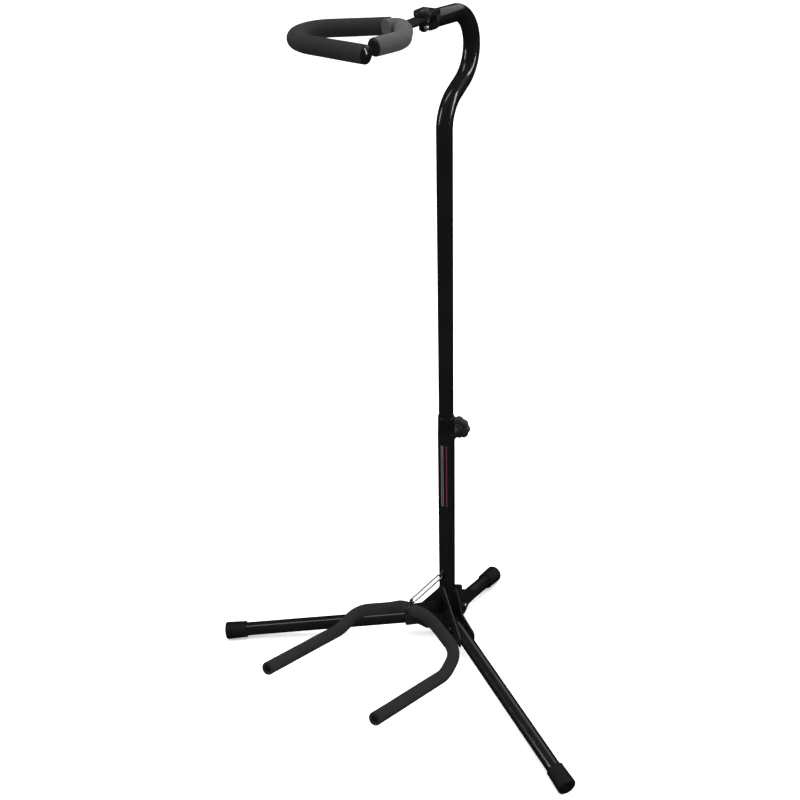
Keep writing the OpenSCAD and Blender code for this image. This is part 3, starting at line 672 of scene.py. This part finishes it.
def build_column(materials):
    line = straight_line((0, 0, COLUMN_BOTTOM), (0, 0, COLUMN_TOP))
    length = line.length
    bm = bmesh.new()
    rings = [(length * k / 60, COLUMN_R) for k in range(1, 60)]
    profile = rim(0, COLUMN_R, 0.4, 3, 1, 1) + rings + rim(length, COLUMN_R, 0.3, 2, -1, -1)
    profile += [(length, COLUMN_BORE_R), (0, COLUMN_BORE_R)]
    spin(bm, line, profile, 96, closed=True)
    finish_mesh(bm, "column_shell", "base", "gloss_black_paint", materials, ("column_tube",), 50)
    bm = bmesh.new()
    line = straight_line((0, 0, COLUMN_TOP), (0, 0, COLUMN_TOP + COLLAR_H))
    bore = MAST_R + 0.07
    profile = [(-COLLAR_SKIRT, bore), (-COLLAR_SKIRT, COLUMN_BORE_R), (0.02, COLUMN_BORE_R),
               (0.02, COLUMN_R - 0.35), (0.3, COLUMN_R)]
    for k in range(1, 9):
        profile.append((0.3 + 22.9 * k / 8, COLUMN_R - 0.02 - 0.48 * k / 8))
    profile += rim(COLLAR_H, COLLAR_TOP_R, 0.9, 5, -1, -1)
    profile += [(COLLAR_H, bore + 0.35), (COLLAR_H - 0.4, bore)]
    spin(bm, line, profile, 96, closed=True)
    finish_mesh(bm, "collar", "base", "gloss_black_plastic", materials, ("height_collar",), 40)


def strip(bm, azimuth, width, low, high):
    """A thin printed line that wraps the column's surface."""
    lift, sunk = 0.06, 0.01
    columns, rows = 6, 24
    grids = []
    for radius in (COLUMN_R + lift, COLUMN_R + sunk):
        grid = []
        for i in range(rows + 1):
            z = low + (high - low) * i / rows
            row = []
            for j in range(columns + 1):
                a = radians(azimuth) + (j / columns - 0.5) * width / COLUMN_R
                row.append(bm.verts.new(Vector((radius * cos(a), radius * sin(a), z)) * MM))
            grid.append(row)
        grids.append(grid)
    for g in grids:
        for i in range(rows):
            for j in range(columns):
                bm.faces.new((g[i][j], g[i][j + 1], g[i + 1][j + 1], g[i + 1][j]))
    a, b = grids
    edge = ([(i, 0) for i in range(rows + 1)] + [(rows, j) for j in range(1, columns + 1)]
            + [(i, columns) for i in range(rows - 1, -1, -1)] + [(0, j) for j in range(columns - 1, 0, -1)])
    for (i, j), (m, n) in zip(edge, edge[1:] + edge[:1]):
        bm.faces.new((a[i][j], a[m][n], b[m][n], b[i][j]))


def build_stripes(materials):
    """Plain pinstripes on the column's front, with no lettering."""
    low, high = 236, 333
    bm = bmesh.new()
    strip(bm, -59, 1.5, low, high)
    finish_mesh(bm, "red_stripe", "base", "red_print", materials)
    bm = bmesh.new()
    strip(bm, -96, 1.0, low, high)
    strip(bm, -84, 1.0, low, high)
    finish_mesh(bm, "pale_stripes", "base", "pale_print", materials)


def build_knob(materials):
    """Eight-lobed knob with rounded lobes, a stepped hub behind and a shallow dish in front."""
    back, front = 26, 41
    line = straight_line((0, back, CLAMP_Z), (0, front, CLAMP_Z))
    profile = [(0, 3.02), (0, 6.9), (0.4, 7.4), (1.9, 7.5), (2.2, 8.2), (2.3, 12.0), (2.9, 13.6),
               (3.8, 15.0), (4.8, 15.8), (5.6, 16.0), (7.6, 16.0), (9.2, 15.7), (10.6, 15.0), (11.7, 14.0),
               (12.6, 12.6), (13.4, 11.0), (14.0, 9.4), (14.3, 8.4), (14.3, 7.7), (13.9, 7.2), (13.8, 6.0),
               (13.9, 3.0), (14.0, 0)]

    def lobes(s, r, t, p, out):
        depth = 1.5 * max(0, min(1, (r - 9.5) / 4))
        wave = 0.5 - 0.5 * cos(8 * t)
        return r - depth * wave ** 1.6

    bm = bmesh.new()
    spin(bm, line, profile + [(9, 0), (9, 3.02)], 128, shape=lobes)
    finish_mesh(bm, "clamp_knob", "knob", "knob_plastic", materials, ("knob",), 60)
    bm = bmesh.new()
    tip, thread_start, end = 14.325, 15.5, 35
    line = straight_line((0, tip - 2, CLAMP_Z), (0, end, CLAMP_Z))
    turns_per_mm, sides, step = 1.0, 28, 0.125
    profile = [(0, 0), (0, 1.4), (0.1, 1.5), (2.0, 1.5), (2.0, 2.4)]
    count = int((end - tip - 0.2) / step)
    profile += [(2.1 + k * step, 2.99) for k in range(count)]
    profile += [(end - tip + 2, 2.9), (end - tip + 2, 0)]

    def thread(s, r, t, p, out):
        if r < 2.95 or s > 13:
            return r
        phase = (s * turns_per_mm - t / (2 * pi)) % 1.0
        return r - 0.55 * abs(2 * phase - 1)

    spin(bm, line, profile, sides, shape=thread)
    finish_mesh(bm, "clamp_thread", "knob", "bright_rivet", materials, ("clamp_screw",), 50)


# ------------------------------------------------------------------ hub and link

PLATE_OUT = LEG_R + 2.225
PIVOT_T = 32
LINK_Z, LUG_Y, EYE_Y = 121, -17, -84
LINK_HALF_W, WIRE_R = 3.4, 1.25


def leg_z(which, t):
    _, reach, foot_z = LEGS[which]
    return ROOT_Z - t * (ROOT_Z - foot_z) / reach


def build_rivets(materials):
    bm = bmesh.new()
    for which, (azimuth, _, _) in LEGS.items():
        a = radians(azimuth)
        centre = Vector((PIVOT_T * cos(a), PIVOT_T * sin(a), leg_z(which, PIVOT_T)))
        across = Vector((-sin(a), cos(a), 0))
        for sign in (-1, 1):
            way = across * sign
            line = straight_line(centre, centre + way)
            flat = PLATE_OUT
            profile = [(flat - 1.5, 0), (flat - 1.5, 2.9), (flat, 3.0), (flat, 4.6)]
            profile += [(flat + 0.1, 4.85), (flat + 0.35, 4.95), (flat + 0.7, 4.8), (flat + 1.15, 4.3),
                        (flat + 1.55, 3.5), (flat + 1.8, 2.6), (flat + 1.86, 1.9), (flat + 1.78, 1.4),
                        (flat + 1.35, 0.9), (flat + 1.25, 0)]
            spin(bm, line, profile, 40)
        spin(bm, straight_line(centre - across * 10, centre + across * 10),
             [(0, 0), (0, 2.99), (20, 2.99), (20, 0)], 32)
    finish_mesh(bm, "rivets", "base", "bright_rivet", materials, ("leg_rivets",), 40)


def build_link(materials):
    """Closed wire link between the two lugs."""
    a, b = Vector((0, LUG_Y, LINK_Z)), Vector((EYE_X, EYE_Y, LINK_Z))
    half = LINK_HALF_W
    way = (b - a).normalized()
    side = Vector((-way.y, way.x, 0))
    c, d = a + way * half, b - way * half
    stations = []
    for k in range(9):
        stations.append((c.lerp(d, k / 8) - side * half, way))
    for k in range(1, 24):
        t = pi * k / 24
        stations.append((d + half * (way * sin(t) - side * cos(t)), way * cos(t) + side * sin(t)))
    for k in range(9):
        stations.append((d.lerp(c, k / 8) + side * half, -way))
    for k in range(1, 24):
        t = pi * k / 24
        stations.append((c + half * (side * cos(t) - way * sin(t)), -way * cos(t) - side * sin(t)))
    line = Line(stations)
    bm = bmesh.new()
    spin(bm, line, [(s, WIRE_R) for s in line.at], 24, closed=True)
    finish_mesh(bm, "link", "base", "chrome_wire", materials, ("tie_link",), 60)


# ------------------------------------------------------------------ stage

# Boxes and strips that show only as highlights: name, place, size in metres and power.
HIGHLIGHTS = (
    ("back_box", (0.7, 2.3, 2.6), (3.4, 2.2), 21),
    ("top_strip", (-0.4, -0.4, 2.4), (0.3, 1.4), 6),
    ("right_strip", (2.2, 0.6, 1.5), (0.3, 1.8), 24),
    ("left_strip", (-2.0, -1.6, 1.4), (0.24, 1.4), 14),
)


def area_light(name, place, target, size, energy):
    light = bpy.data.lights.new(name, "AREA")
    light.shape = "RECTANGLE"
    light.size, light.size_y = size
    light.energy = energy
    ob = bpy.data.objects.new(name, light)
    ob.location = place
    ob.rotation_euler = (Vector(target) - Vector(place)).to_track_quat("-Z", "Y").to_euler()
    bpy.context.scene.collection.objects.link(ob)
    return ob


def build_stage():
    bm = bmesh.new()
    bmesh.ops.create_grid(bm, x_segments=8, y_segments=8, size=9)
    mesh = bpy.data.meshes.new("floor")
    bm.to_mesh(mesh)
    bm.free()
    floor = bpy.data.objects.new("floor", mesh)
    floor.location.z = FLOOR_Z
    bpy.context.scene.collection.objects.link(floor)
    mat, tree, shader, where = new_material("pale_floor")
    patches = noise_node(tree, where, 3, 4)
    tone = ramp_node(tree, patches, [(0.3, (0.95, 0.95, 0.95)), (0.7, (0.98, 0.98, 0.98))])
    tree.links.new(tone, shader.inputs["Base Color"])
    shader.inputs["Roughness"].default_value = 0.9
    shader.inputs["Specular IOR Level"].default_value = 0.1
    shader.inputs["Emission Color"].default_value = (1, 1, 1, 1)
    shader.inputs["Emission Strength"].default_value = 0.3
    mesh.materials.append(mat)
    floor.visible_diffuse = False
    floor.visible_glossy = False

    world = bpy.data.worlds.new("studio")
    world.use_nodes = True
    background = next(n for n in world.node_tree.nodes if n.type == "BACKGROUND")
    background.inputs["Color"].default_value = (1, 1, 1, 1)
    background.inputs["Strength"].default_value = 1.0
    bpy.context.scene.world = world
    world.cycles_visibility.glossy = False
    area_light("overhead", (0.1, -0.3, 3.0), (0, 0, 0.5), (2.6, 2.6), 110).visible_glossy = False
    for name, place, size, energy in HIGHLIGHTS:
        area_light(name, place, (0, 0, 0.7), size, energy).visible_diffuse = False
    bpy.context.scene.view_settings.view_transform = "Standard"


# ------------------------------------------------------------------ build

make_camera()
build_stage()
finish = make_materials()
for cad_name, cad_node in nodes.items():
    cad_node.data.materials.clear()
    cad_node.data.materials.append(finish[slot_of_node[cad_name]])

build_mast(finish)
build_yoke(finish)
build_holder(finish)
build_gate(finish)
for leg_name in LEGS:
    build_leg(leg_name, finish)
    build_foot(leg_name, finish)
build_column(finish)
build_stripes(finish)
build_knob(finish)
build_rivets(finish)
build_link(finish)
# Nodes shown as they are, with this much of each hard edge broken, and the piece's name.
for cad_name, width, new_name in (
        ("hub_plate_front", 0.45, "front_plate"), ("hub_plate_left", 0.45, "left_plate"),
        ("hub_plate_right", 0.45, "right_plate"), ("yoke_strut", 0.5, "strut"),
        ("column_lug", 0.4, "lug"), ("clamp_boss", 0.5, "boss"), ("crook_housing", 0.9, "crook_end"),
        ("holder_bracket", 0.4, "fork"), ("pivot_bolt", 0.3, "bolt"), ("pivot_nut", 0.35, "nut"),
        ("column_plug", 0.6, "plug")):
    softened(cad_name, width, finish, new_name)
